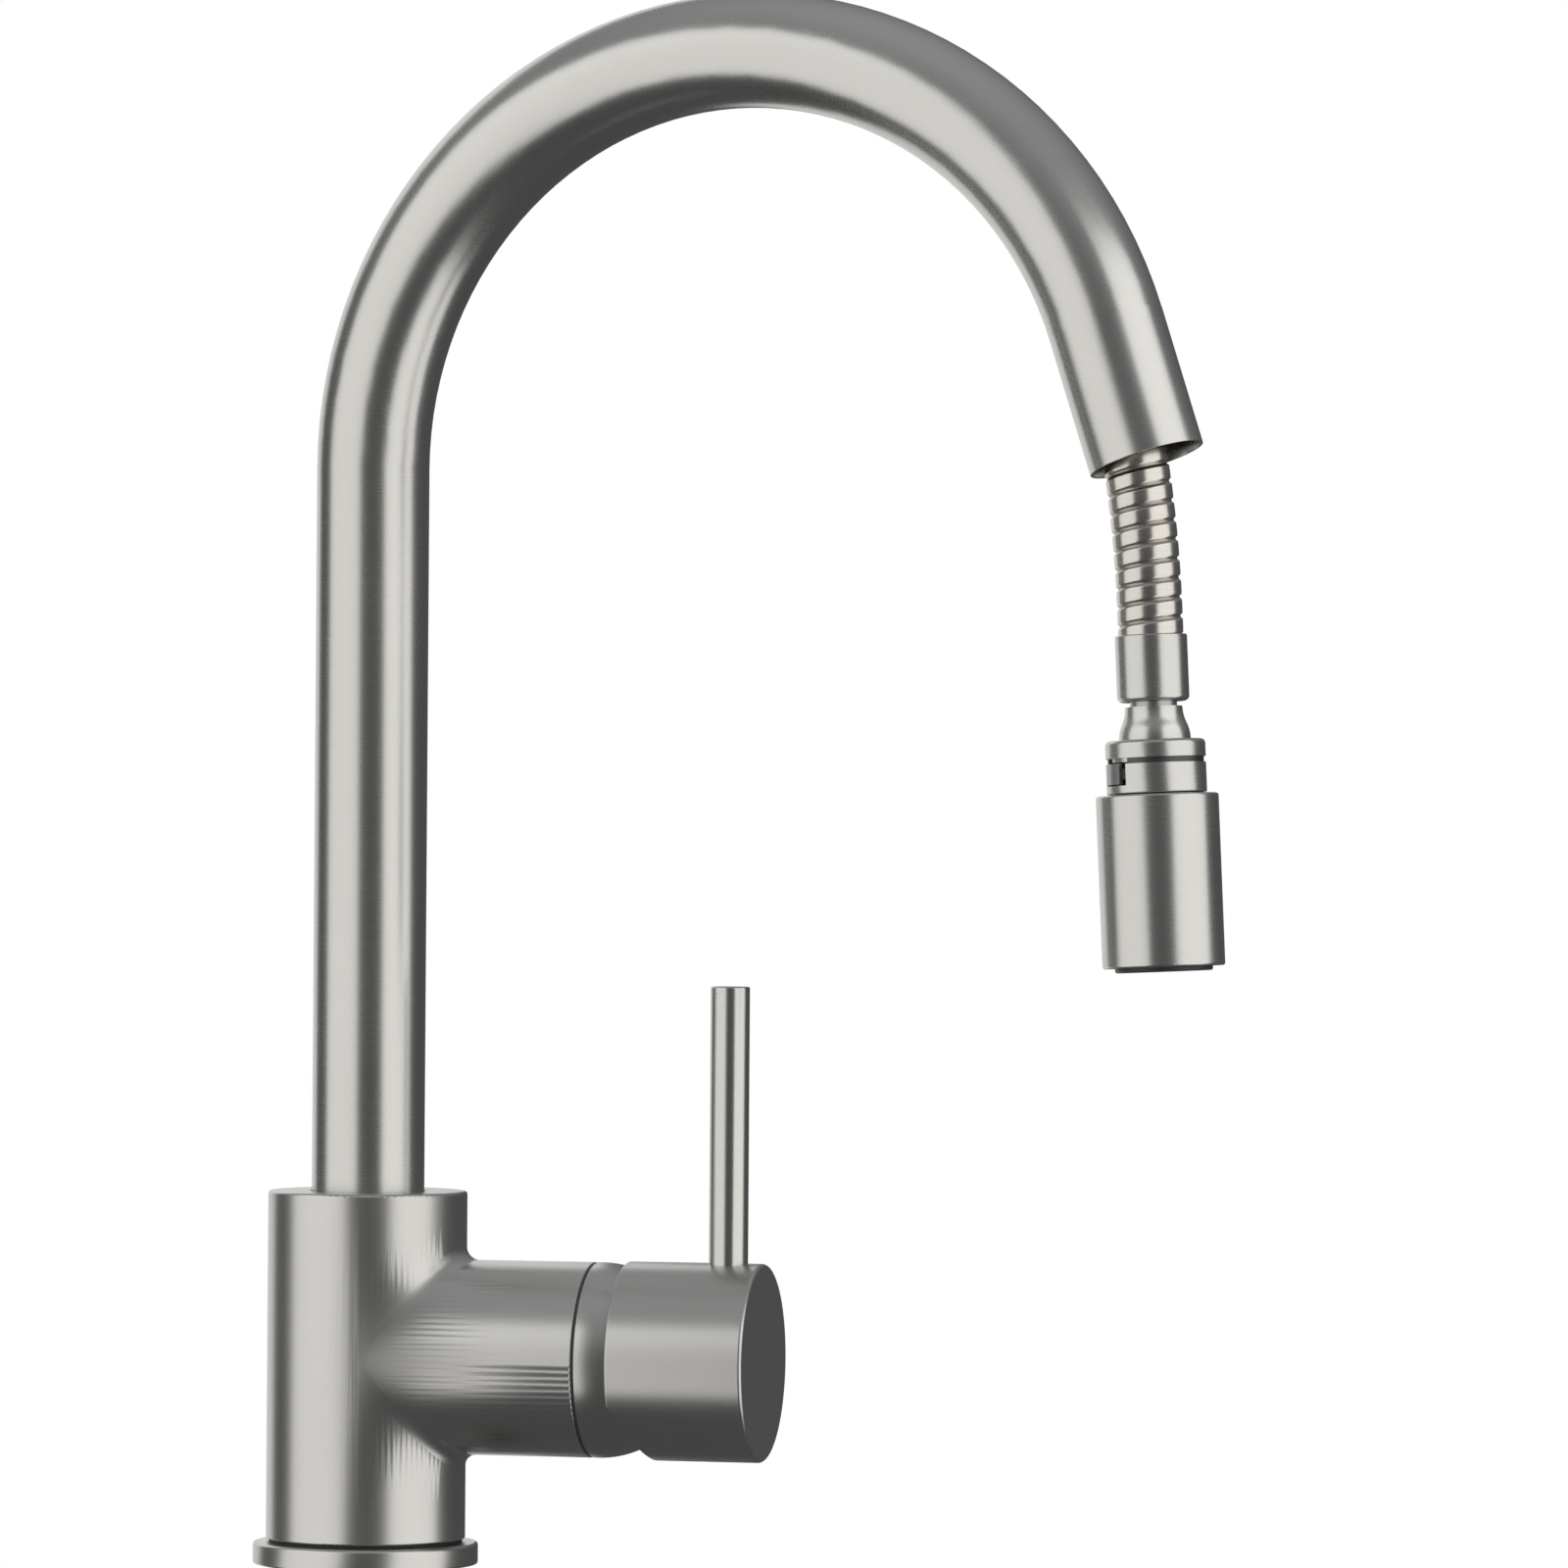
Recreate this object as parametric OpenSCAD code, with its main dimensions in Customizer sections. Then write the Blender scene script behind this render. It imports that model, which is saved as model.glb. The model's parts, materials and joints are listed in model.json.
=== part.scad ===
// Pull down kitchen faucet: a single hole body with a side lever, a swivelling gooseneck spout,
// and a spray head that pulls out of the spout on a hose.
// Frame: origin at the centre of the deck seat, +Z up, and the spout reaches along +X.

/* [Base and deck] */
// Diameter of the base flange
flange_d = 52; // [50:1:60]
// Thickness of the base flange
flange_h = 5; // [4:0.5:7]
// Thickness of the dark seal between flange and body
body_seal_t = 0.8; // [0.5:0.1:1.5]
// Depth of the groove that holds the deck gasket
gasket_t = 1.5; // [1:0.1:2]
// Thickness of the deck that the part is clamped to
deck_t = 20; // [5:1:24]
// Outer diameter of the threaded shank
shank_d = 34; // [32:0.5:34]
// Bore of the threaded shank
shank_bore_d = 30; // [29:0.5:30.5]
// Length of the shank below the deck seat
shank_l = 48; // [44:1:80]
// How far the shank screws up into the body
shank_grip = 14; // [10:0.5:15]
// Pitch of the shank thread
thread_pitch = 1.5; // [1:0.25:2]
// Outer diameter of the washers under the deck
washer_d = 50; // [44:1:56]
// Thickness of the lock nut
nut_h = 10; // [8:0.5:12]

/* [Body and side arm] */
// Diameter of the body
body_d = 46; // [44:1:52]
// Height of the top of the body above the deck seat
body_top_z = 86; // [84:1:100]
// Diameter of the side arm
arm_d = 44.8; // [44.4:0.2:46]
// Height of the arm's axis above the deck seat
arm_z = 48; // [47.5:0.5:49]
// Turn of the arm from the spout, seen from above
arm_yaw = 11; // [-90:1:90]
// Distance from the body's axis to the end of the arm
arm_l = 54.3; // [54:0.1:55]

/* [Spout] */
// Outer diameter of the spout tube
spout_d = 26; // [25.6:0.1:26.4]
// Wall of the spout tube
spout_wall = 1; // [0.8:0.1:1.1]
// Height at which the bend starts
bend_z = 253; // [220:1:300]
// Radius of the bend at the tube's centre
bend_r = 93.5; // [85:0.5:105]
// Angle of the bend
bend_a = 161.7; // [155:0.1:170]
// Straight length after the bend
tail_l = 31.5; // [28:0.5:40]
// Depth of the spout's seat in the body
socket_depth = 26; // [24:0.5:27]

/* [Hose] */
// Outer diameter of the strip wound hose
hose_d = 14.5; // [13.5:0.1:14.6]
// Radius of the curve that the pulled hose keeps outside the spout
pull_r = 272.1; // [270:0.1:274]
// Distance from the top of the sleeve up to where the hose starts to curve
pull_foot = 41.4; // [40:0.1:43]
// How far the head is pulled out, as an angle about the centre of that curve
pull_rest = 15.47; // [14:0.01:16]
// Sideways step of the hose inside the body, away from the inlets
hose_shift = 7; // [6.8:0.1:7.2]

/* [Spray head] */
// Diameter of the sleeve
sleeve_d = 27.2; // [27:0.1:28.4]
// Length of the sleeve
sleeve_l = 38.2; // [36:0.1:48]
// Diameter of the collar
collar_d = 22.2; // [21.6:0.1:22.4]
// Height of the collar above the sleeve
collar_h = 12.1; // [12:0.1:12.4]
// Height of the neck's top above the sleeve
neck_top = 19.5; // [19:0.1:19.8]
// Diameter of the neck at its top
neck_d = 12.7; // [12.5:0.1:13.2]
// Diameter of the neck at its foot
neck_foot_d = 15.9; // [15:0.1:16.4]
// Diameter of the ferrule
ferrule_d = 16; // [15.8:0.1:16.4]
// Length of the ferrule
ferrule_l = 14.8; // [13:0.1:16]
// Open gap between the ferrule and the neck
swivel_gap = 1.1; // [0.6:0.1:1.4]
// Diameter of the head's water core
core_d = 17; // [16.6:0.1:17.4]
// Diameter of the aerator housing
aerator_d = 21.7; // [21:0.1:22.4]
// How far the aerator housing stands out of the sleeve
aerator_out = 1; // [0.6:0.1:2]

/* [Cartridge] */
// Distance from the body's axis to the floor of the cartridge seat
seat_x = 30; // [29.5:0.5:30.5]
// Diameter of the cartridge housing
cartridge_d = 35; // [34.4:0.1:35.2]
// Distance from the body's axis to the lever's pivot, which is the centre of the dome
pivot_x = 56; // [55.6:0.1:56.4]
// Length of the stem's finger below the pivot
finger_l = 10; // [9.6:0.1:10.4]
// Diameter of the turning stem guide
guide_d = 23; // [22.6:0.1:23.4]
// Diameter of the pin that the stem tilts on
stem_pin_d = 3; // [2.5:0.1:3.5]
// Width of the square stem
stem_w = 7; // [6.5:0.1:7.4]

/* [Lever] */
// Outer radius of the dome under the cap
dome_r = 22.4; // [22.2:0.1:22.4]
// Distance from the body's axis to the end of the dome
dome_end_x = 71; // [70:0.5:72]
// Diameter of the cap
cap_d = 45.4; // [45.4:0.1:47]
// Distance from the body's axis to the inner edge of the cap
cap_x = 62.4; // [62:0.1:64]
// Length of the cap
cap_l = 31.9; // [31:0.1:36]
// Height of the flat bevel on the cap's lower inner edge, below the axis
bevel_z = 9; // [7:0.5:12]
// Lean of that bevel
bevel_a = 28.4; // [20:0.1:32]
// Diameter of the rod
rod_d = 9; // [7:0.5:10]
// Distance from the body's axis to the rod
rod_x = 85.8; // [84:0.1:87]
// Height of the rod's top above the arm's axis
rod_top = 86; // [60:1:110]

/* [Fits] */
// Radial clearance of turning and sliding fits
run_fit = 0.05; // [0.02:0.01:0.1]
// Gap between faces that pass each other
face_gap = 0.3; // [0.3:0.05:0.5]
// Gap between a fixed piece and its seat
seat_gap = 0.05; // [0.02:0.01:0.1]

/* [Hidden] */
$fn = 96;

// overlap that makes a cut clean
eps = 1;
// step that lets two stretches of one tube join
weld = 0.02;
// sides of a swept hose
hose_sides = 24;
steel = [0.78, 0.77, 0.75];
dark_steel = [0.55, 0.54, 0.53];
brass = [0.80, 0.66, 0.34];
black = [0.08, 0.08, 0.08];
white = [0.90, 0.90, 0.88];
ceramic = [0.94, 0.93, 0.90];

// radii
body_r = body_d / 2;
arm_r = arm_d / 2;
shank_r = shank_d / 2;
shank_bore_r = shank_bore_d / 2;
spout_r = spout_d / 2;
spout_bore_r = spout_r - spout_wall;
hose_r = hose_d / 2;
sleeve_r = sleeve_d / 2;
collar_r = collar_d / 2;
core_r = core_d / 2;
ferrule_r = ferrule_d / 2;
aerator_r = aerator_d / 2;
cartridge_r = cartridge_d / 2;
cap_r = cap_d / 2;
rod_r = rod_d / 2;
guide_r = guide_d / 2;
stem_pin_r = stem_pin_d / 2;

// stack of the base
body_z = flange_h + body_seal_t;
shank_top_z = body_z + shank_grip;
thread_depth = 0.4 * thread_pitch;
flange_hole_r = shank_r + 1;
rubber_t = 3;
washer_t = 2;
nut_top_z = -deck_t - rubber_t - washer_t;
nut_r = 23;
nut_screw_r = 2;
nut_screw_x = 20;

// inlets and outlet of the body, in the arm's frame
port_r = 3.5;
port_depth = 10;
port_top_z = shank_top_z + port_depth;
port_at = [[7, 8], [7, -8], [11, 0]];
way_r = 2.3;
way_at = [[10, 8], [10, -8], [12.5, 0]];
// places of the three ports on the cartridge's face: across the arm, and above its axis
face_at = [[8, 4], [-8, 4], [0, -8]];
channel_r = hose_r + 1.35;
swivel_z = body_top_z - socket_depth - 4;
bend_low_z = swivel_z - 32;

// spout seat
socket_z = body_top_z - socket_depth;
socket_r = spout_r + 0.4;
thrust_t = 0.95;
tail_z = socket_z + thrust_t + seat_gap;
tube_z = body_top_z - 8;
tail_spigot = 12;
tail_bore_r = spout_bore_r - 2.6;
slip_ring_h = 3;
slip_ring_at = [tail_z + 3.6, tube_z - slip_ring_h - 1];
groove_r = spout_r - 1.4;
o_ring_r = 1.1;
o_ring_at = [tail_z + 8.1, tail_z + 11.2];
screw_r = 2.5;
screw_groove_r = spout_r - 1.2;
screw_tip_r = 1;
screw_z = tail_z + 1.8;

// the spout's route in its own plane
bend_c = [bend_r, 0, bend_z];
out_dir = [sin(bend_a), 0, cos(bend_a)];
out_side = [-cos(bend_a), 0, sin(bend_a)];
outlet = bend_c + bend_r * out_side + tail_l * out_dir;
out_tilt = 180 - bend_a;

// the head's docked place, and the far centre that the hose's curve turns about
dock_side = 0.4;
dock_gap = 0.4;
dock = outlet + dock_side * out_side + dock_gap * out_dir;
pull_c = dock - pull_foot * out_dir - pull_r * out_side;
rest_tilt = out_tilt - pull_rest;
centre_line = bend_c - pull_c;
meet_a = atan2(centre_line[2], centre_line[0]);
hose_bend_r = pull_r - norm(centre_line);
hose_x = bend_r - hose_bend_r;
bush_l = 14.5;
bush_at = 13.5;

// the lower hose's step inside the body
step_h = swivel_z - bend_low_z;
step_a = 2 * atan(hose_shift / step_h);
step_r = step_h / (2 * sin(step_a));
hose_end_z = -shank_l - 6;
connector_l = 20;
connector_r = 8.2;

// stack of the head, upwards from the top of the sleeve
ferrule_z = neck_top + swivel_gap;
hose_in = ferrule_z + 3.4;
stem_r = 5.2;
stem_flange_r = 6.2;
stem_flange_h = 2;
stem_flange_z = collar_h - 1.4;
stem_bore_r = 3.2;
core_bore_r = 6.5;
core_low = -28;
groove_low = 6.9;
groove_high = 8.2;
groove_depth = 1;
tab_low = 2.4;
tab_high = 7;
tab_w = 5.2;
tab_t = 1.2;
tab_play = 0.3;
// turn of the latch from the side that faces the spout's column
tab_turn = 50;
// open part of the slot beside the tab
slot_extra = 1.6;
spring_t = 0.25;
sleeve_wall = 1.5;
sleeve_top = 2.2;
sleeve_bore_r = sleeve_r - sleeve_wall;
aerator_low = -sleeve_l - aerator_out;
aerator_top = -26;

// stack of the cartridge, outwards from the seat
seal_t = 0.8;
base_x = seat_x + seal_t;
base_t = 4;
fixed_x = base_x + base_t;
fixed_t = 3.2;
moving_x = fixed_x + fixed_t + seat_gap;
moving_t = 3.45;
carrier_x = moving_x + moving_t;
ball_x = pivot_x - finger_l;
ball_r = 2.6;
carrier_end_x = ball_x + 1.5;
disc_r = 10.6;
guide_x = carrier_end_x + face_gap;
guide_flange_t = 1.5;
guide_flange_r = cartridge_r - 2.5;
guide_end_x = pivot_x + 4;
housing_bore_r = guide_flange_r + face_gap;
shoulder_x = guide_x + guide_flange_t + 0.2;
housing_end_x = shoulder_x + 1.7;
seat_r = cartridge_r + 0.5;
nut_in_r = guide_r + 0.9;
nut_end_x = housing_end_x + 7;
limit_t = 1.9;
hub_r = 5;
finger_r = 2.2;
stem_end_x = rod_x + rod_r - 2;
cover_seal_t = 0.8;
cover_x = arm_l + cover_seal_t;
dome_wall = 1.5;
cap_clear = 0.3;
rod_seat = stem_w / 2 + 0.5;
cap_screw_r = 2.5;
cap_screw_l = 8;
cap_screw_x = rod_x - 5.5;

// a straight ring standing on the XY plane
module ring(outer, inner, h) {
    difference() {
        cylinder(h = h, r = outer);
        translate([0, 0, -eps]) cylinder(h = h + 2 * eps, r = inner);
    }
}

// outline of a turned piece: r wide, h tall, with rounded outer corners
module turned_outline(r, h, top = 0, low = 0) {
    square([r - max(top, low), h]);
    translate([0, low]) square([r, h - top - low]);
    if (top > 0) {
        translate([0, h - top - eps / 2]) square([r - top, top + eps / 2]);
        translate([r - top, h - top]) circle(r = top);
    }
    if (low > 0) {
        square([r - low, low + eps / 2]);
        translate([r - low, low]) circle(r = low);
    }
}

module turned(r, h, top = 0, low = 0) {
    rotate_extrude() intersection() {
        turned_outline(r, h, top, low);
        square([r, h]);
    }
}

// a ring of round section, such as an O-ring
module o_ring(mid, thick) {
    rotate_extrude() translate([mid, 0]) circle(r = thick);
}

// outline of a tube wall
module tube_outline(outer, inner) {
    difference() {
        circle(r = outer);
        if (inner > 0) circle(r = inner);
    }
}

// a tube on an arc in the XZ plane, about the centre, from angle a0 to a1 measured from +X up
module arc_tube(centre, radius, a0, a1, outer, inner = 0) {
    translate(centre) rotate([90, 0, 0]) rotate([0, 0, a0])
        rotate_extrude(angle = a1 - a0) translate([radius, 0]) tube_outline(outer, inner);
}

// steps of a route, each [point, angle of the direction] in the XZ plane
function line_steps(from, to, dir_a, n) =
    [for (i = [0 : n]) [from + (to - from) * i / n, dir_a]];

function arc_steps(centre, radius, a0, a1, n) =
    [for (i = [0 : n]) let (a = a0 + (a1 - a0) * i / n)
        [centre + radius * [cos(a), 0, sin(a)], a + 90]];

function skip_first(steps) = [for (i = [1 : len(steps) - 1]) steps[i]];

// a round hose swept along a route's steps, as one solid
module swept_hose(steps, radius) {
    sides = hose_sides;
    rings = len(steps);
    points = [for (s = steps) for (k = [0 : sides - 1])
        s[0] + radius * (cos(k * 360 / sides) * [-sin(s[1]), 0, cos(s[1])]
            + sin(k * 360 / sides) * [0, 1, 0])];
    walls = [for (i = [0 : rings - 2]) for (k = [0 : sides - 1])
        let (a = i * sides + k, b = i * sides + (k + 1) % sides)
            [a, a + sides, b + sides, b]];
    ends = [[for (k = [0 : sides - 1]) k],
        [for (k = [0 : sides - 1]) rings * sides - 1 - k]];
    polyhedron(points, concat(walls, ends), convexity = 10);
}

// places children in the arm's frame: X outwards along the arm, Z up, origin on the body's axis
module arm_frame() {
    translate([0, 0, arm_z]) rotate([0, 0, arm_yaw]) children();
}

// places children that stand on XY along the arm, starting x from the body's axis
module along_arm(x) {
    arm_frame() translate([x, 0, 0]) rotate([0, 90, 0]) children();
}

// places children at a point of the cartridge's face: p is [across, above the axis]
module at_face(p) {
    translate([-p[1], p[0], 0]) children();
}

// places children in the head's frame: origin at the top of the sleeve, Z up its axis
module head_frame() {
    translate(pull_c) rotate([0, pull_rest, 0]) translate(dock - pull_c)
        rotate([0, -out_tilt, 0]) children();
}

// places children in the frame of the spout's outlet: Z points back up into the tube
module outlet_frame() {
    translate(outlet) rotate([0, -out_tilt, 0]) children();
}

module base_flange() {
    color(steel) difference() {
        turned(flange_d / 2, flange_h, 0.8, 0.5);
        translate([0, 0, -eps]) cylinder(h = flange_h + 2 * eps, r = flange_hole_r);
        translate([0, 0, -eps]) ring(flange_d / 2 - 2, flange_hole_r + 1.5, gasket_t + eps);
    }
}

module deck_gasket() {
    color(black) ring(flange_d / 2 - 2, flange_hole_r + 1.5, gasket_t);
}

module body_seal() {
    color(black) translate([0, 0, flange_h]) ring(body_r - 0.7, shank_r + 0.6, body_seal_t);
}

// the three water ways: threaded port below, a way up, and a way out to the cartridge's seat
module water_ways() {
    for (i = [0 : 2]) {
        rotate([0, 0, arm_yaw]) {
            translate([port_at[i][0], port_at[i][1], shank_top_z - eps])
                cylinder(h = port_depth + eps, r = port_r);
            translate([way_at[i][0], way_at[i][1], port_top_z - 4])
                cylinder(h = arm_z + face_at[i][1] - port_top_z + 4, r = way_r);
        }
        along_arm(way_at[i][0]) at_face(face_at[i])
            cylinder(h = seat_x - way_at[i][0] + eps, r = way_r);
    }
}

// the hose's channel: on the axis above, stepped aside below
module hose_channel() {
    rotate([0, 0, arm_yaw]) {
        translate([0, 0, port_top_z + 2])
            cylinder(h = socket_z - port_top_z - 2 + eps, r = channel_r);
        translate([-hose_shift, 0, shank_top_z - eps])
            cylinder(h = swivel_z - shank_top_z + eps, r = channel_r);
        translate([-hose_shift, -channel_r, port_top_z + 2])
            cube([hose_shift, 2 * channel_r, swivel_z - port_top_z - 2]);
    }
}

module faucet_body() {
    color(steel) difference() {
        union() {
            translate([0, 0, body_z]) turned(body_r, body_top_z - body_z, 0.8, 0.4);
            along_arm(0) turned(arm_r, arm_l, 0.3);
        }
        translate([0, 0, body_z - eps]) cylinder(h = shank_grip + eps, r = shank_r + seat_gap);
        translate([0, 0, socket_z]) cylinder(h = socket_depth + eps, r = socket_r);
        hose_channel();
        water_ways();
        along_arm(seat_x) cylinder(h = arm_l - seat_x + eps, r = seat_r);
        translate([-body_r - eps, 0, screw_z]) rotate([0, 90, 0])
            cylinder(h = body_r - socket_r + 2 * eps, r = screw_r);
    }
}

// thread ridges as a row of rings, from z = 0 up
module threaded_outside(r, l) {
    turns = floor(l / thread_pitch);
    rotate_extrude() polygon(concat([[0, 0]],
        [for (i = [0 : turns - 1]) each [[r - thread_depth, i * thread_pitch],
            [r, (i + 0.5) * thread_pitch]]],
        [[r - thread_depth, turns * thread_pitch], [r - thread_depth, l], [0, l]]));
}

module shank() {
    color(brass) difference() {
        union() {
            translate([0, 0, -shank_l]) threaded_outside(shank_r, shank_l - 2);
            translate([0, 0, -2 - eps / 2]) cylinder(h = shank_top_z + 2 + eps / 2, r = shank_r);
        }
        translate([0, 0, -shank_l - eps])
            cylinder(h = shank_l + shank_top_z + 2 * eps, r = shank_bore_r);
    }
}

module rubber_washer() {
    color(black) translate([0, 0, -deck_t - rubber_t])
        ring(washer_d / 2, shank_r + 0.4, rubber_t);
}

module steel_washer() {
    color(steel) translate([0, 0, -deck_t - rubber_t - washer_t])
        ring(washer_d / 2, shank_r + 0.4, washer_t);
}

module lock_nut() {
    color(brass) translate([0, 0, nut_top_z - nut_h]) difference() {
        intersection() {
            cylinder(h = nut_h, r = nut_r + 2.6, $fn = 6);
            turned(nut_r + 1.6, nut_h, 0, 1.2);
        }
        translate([0, 0, -eps]) cylinder(h = nut_h + 2 * eps, r = shank_r + seat_gap);
        for (a = [0, 180]) rotate([0, 0, a]) translate([nut_screw_x, 0, -eps])
            cylinder(h = nut_h + 2 * eps, r = nut_screw_r + seat_gap);
    }
}

module lock_nut_screws() {
    color(dark_steel) for (a = [0, 180])
        rotate([0, 0, a]) translate([nut_screw_x, 0, nut_top_z - nut_h - 5]) difference() {
            union() {
                cylinder(h = nut_h + 5, r = nut_screw_r);
                turned(nut_screw_r + 0.7, 3.4, 0, 0.3);
            }
            translate([0, 0, -eps]) cylinder(h = 2 + eps, r = 1.3, $fn = 6);
        }
}

module spout_tube() {
    color(steel) difference() {
        union() {
            translate([0, 0, tube_z]) ring(spout_r, spout_bore_r, bend_z - tube_z);
            arc_tube(bend_c, bend_r, 180, out_tilt, spout_r, spout_bore_r);
            outlet_frame() ring(spout_r + weld, spout_bore_r - weld, tail_l + 10 * weld);
        }
        // a slight funnel that guides the collar in
        outlet_frame() translate([0, 0, -eps])
            cylinder(h = 3.2, r1 = spout_bore_r + 0.6, r2 = spout_bore_r - 0.04);
    }
}

module spout_tail() {
    color(brass) difference() {
        union() {
            translate([0, 0, tail_z]) cylinder(h = tube_z - tail_z, r = spout_r);
            translate([0, 0, tube_z - eps / 2])
                cylinder(h = tail_spigot + eps / 2, r = spout_bore_r - seat_gap);
        }
        translate([0, 0, tail_z - eps])
            cylinder(h = tube_z - tail_z + tail_spigot + 2 * eps, r = tail_bore_r);
        for (z = slip_ring_at) translate([0, 0, z])
            ring(spout_r + eps, groove_r, slip_ring_h);
        for (z = o_ring_at) translate([0, 0, z - o_ring_r - 0.1])
            ring(spout_r + eps, socket_r - 0.04 - 2 * o_ring_r - 0.02, 2 * o_ring_r + 0.2);
        translate([0, 0, screw_z - screw_tip_r - face_gap])
            ring(spout_r + eps, screw_groove_r, 2 * (screw_tip_r + face_gap));
    }
}

module slip_rings() {
    color(white) for (z = slip_ring_at) translate([0, 0, z + seat_gap])
        ring(socket_r - run_fit, groove_r + seat_gap, slip_ring_h - 2 * seat_gap);
}

module spout_o_rings() {
    color(black) for (z = o_ring_at) translate([0, 0, z])
        o_ring(socket_r - 0.04 - o_ring_r, o_ring_r);
}

module thrust_washer() {
    color(white) translate([0, 0, socket_z]) ring(spout_r - 0.5, channel_r + 0.6, thrust_t);
}

// a set screw with a thin tip that runs in the tail's groove
module spout_screw() {
    screw_l = body_r - socket_r - 1.9;
    tip_l = socket_r - screw_groove_r - face_gap + 0.1;
    color(dark_steel) translate([1.8 - body_r, 0, screw_z])
        rotate([0, 90, 0]) difference() {
            union() {
                cylinder(h = screw_l, r = screw_r - seat_gap);
                cylinder(h = screw_l + tip_l, r = screw_tip_r);
            }
            translate([0, 0, -eps]) cylinder(h = 2.5 + eps, r = 1.3, $fn = 6);
        }
}

module hose_guide_bush() {
    color(black) outlet_frame() translate([0, 0, bush_at])
        ring(spout_bore_r - seat_gap, spout_bore_r - 0.8, bush_l);
}

// the hose along its real route: straight out of the ferrule, the wide curve up into the outlet,
// round the spout's bend, and down the column to the swivel plane
module spray_hose() {
    tilt = [-sin(rest_tilt), 0, cos(rest_tilt)];
    foot = pull_c + pull_r * [cos(rest_tilt), 0, sin(rest_tilt)];
    top = [hose_x, 0, bend_z];
    steps = concat(line_steps(foot - (pull_foot - hose_in) * tilt, foot, rest_tilt + 90, 1),
        skip_first(arc_steps(pull_c, pull_r, rest_tilt, meet_a, 6)),
        skip_first(arc_steps(bend_c, hose_bend_r, meet_a, 180, 22)),
        skip_first(line_steps(top, [hose_x, 0, swivel_z + face_gap], 270, 4)));
    color(steel) swept_hose(steps, hose_r);
}

module hose_lower() {
    steps = concat(arc_steps([-step_r, 0, swivel_z], step_r, 0, -step_a, 4),
        skip_first([for (s = arc_steps([step_r - hose_shift, 0, bend_low_z], step_r,
            180 - step_a, 180, 4)) [s[0], s[1] - 180]]),
        skip_first(line_steps([-hose_shift, 0, bend_low_z], [-hose_shift, 0, hose_end_z],
            90, 3)));
    color(steel) rotate([0, 0, arm_yaw]) swept_hose(steps, hose_r - 0.02);
}

module hose_connector() {
    color(white) rotate([0, 0, arm_yaw]) translate([-hose_shift, 0, hose_end_z]) {
        translate([0, 0, -connector_l]) difference() {
            turned(connector_r, connector_l, 0.6, 0.6);
            translate([0, 0, -eps]) cylinder(h = connector_l - 3 + eps, r = 3);
            for (z = [5, 9]) translate([0, 0, z]) ring(connector_r + eps, connector_r - 1.2, 2);
        }
    }
}

module hose_ferrule() {
    color(steel) head_frame() translate([0, 0, ferrule_z]) difference() {
        turned(ferrule_r, ferrule_l, 0.4, 1.2);
        translate([0, 0, hose_in - ferrule_z]) cylinder(h = ferrule_l, r = hose_r);
        translate([0, 0, -eps]) cylinder(h = ferrule_l, r = stem_r);
    }
}

// the hose's brass end, with a flange that turns inside the neck
module swivel_stem() {
    color(brass) head_frame() difference() {
        union() {
            translate([0, 0, stem_flange_z]) cylinder(h = stem_flange_h, r = stem_flange_r);
            translate([0, 0, stem_flange_z]) cylinder(h = hose_in - stem_flange_z, r = stem_r);
        }
        translate([0, 0, stem_flange_z - eps])
            cylinder(h = hose_in - stem_flange_z + 2 * eps, r = stem_bore_r);
        translate([0, 0, neck_top - 4]) ring(stem_r + eps, stem_r - 1.3, 1.9);
    }
}

// a bell: hollow above and full below, from two equal arcs that meet half way
module swivel_neck() {
    neck_h = neck_top - collar_h;
    half_h = neck_h / 2;
    half_flare = (neck_foot_d - neck_d) / 4;
    curve = (half_flare * half_flare + half_h * half_h) / (2 * half_flare);
    color(steel) head_frame() translate([0, 0, collar_h]) difference() {
        rotate_extrude() {
            difference() {
                translate([0, half_h - 0.01]) square([neck_d / 2 + half_flare, half_h + 0.01]);
                translate([neck_d / 2 + curve, neck_h]) circle(r = curve);
            }
            intersection() {
                square([neck_foot_d / 2, half_h]);
                translate([neck_foot_d / 2 - curve, 0]) circle(r = curve);
            }
        }
        translate([0, 0, -eps]) cylinder(h = neck_h + 2 * eps, r = stem_r + run_fit);
        translate([0, 0, -eps])
            cylinder(h = stem_flange_z + stem_flange_h - collar_h + run_fit + eps,
                r = stem_flange_r + run_fit);
    }
}

module swivel_o_ring() {
    color(black) head_frame() translate([0, 0, neck_top - 3.05])
        o_ring(stem_r - 0.62, 0.6);
}

module check_valve() {
    color(white) head_frame() translate([0, 0, -6]) difference() {
        turned(core_bore_r - seat_gap, 10, 0.4, 0.4);
        translate([0, 0, -eps]) cylinder(h = 10 + 2 * eps, r = 3.6);
        for (z = [2, 6.5]) translate([0, 0, z]) ring(core_bore_r + eps, core_bore_r - 0.9, 1.4);
    }
}

module head_core() {
    color(brass) head_frame() difference() {
        translate([0, 0, core_low]) cylinder(h = collar_h - core_low, r = core_r);
        translate([0, 0, core_low - eps])
            cylinder(h = collar_h - core_low + 2 * eps, r = core_bore_r);
    }
}

// the opening that the latch tab moves in, cut inwards to a depth
module latch_slot(depth) {
    rotate([0, 0, tab_turn])
        translate([-collar_r - eps, -tab_w / 2 - tab_play - slot_extra, tab_low - tab_play])
            cube([depth, tab_w + 2 * tab_play + slot_extra, tab_high - tab_low + 2 * tab_play]);
}

module head_collar() {
    color(steel) head_frame() difference() {
        translate([0, 0, face_gap]) turned(collar_r, collar_h - face_gap, 1, 0.3);
        translate([0, 0, -eps]) cylinder(h = collar_h + 2 * eps, r = core_r + seat_gap);
        translate([0, 0, groove_low])
            ring(collar_r + eps, collar_r - groove_depth, groove_high - groove_low);
        latch_slot(collar_r - core_r + eps + 0.2);
    }
}

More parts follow.
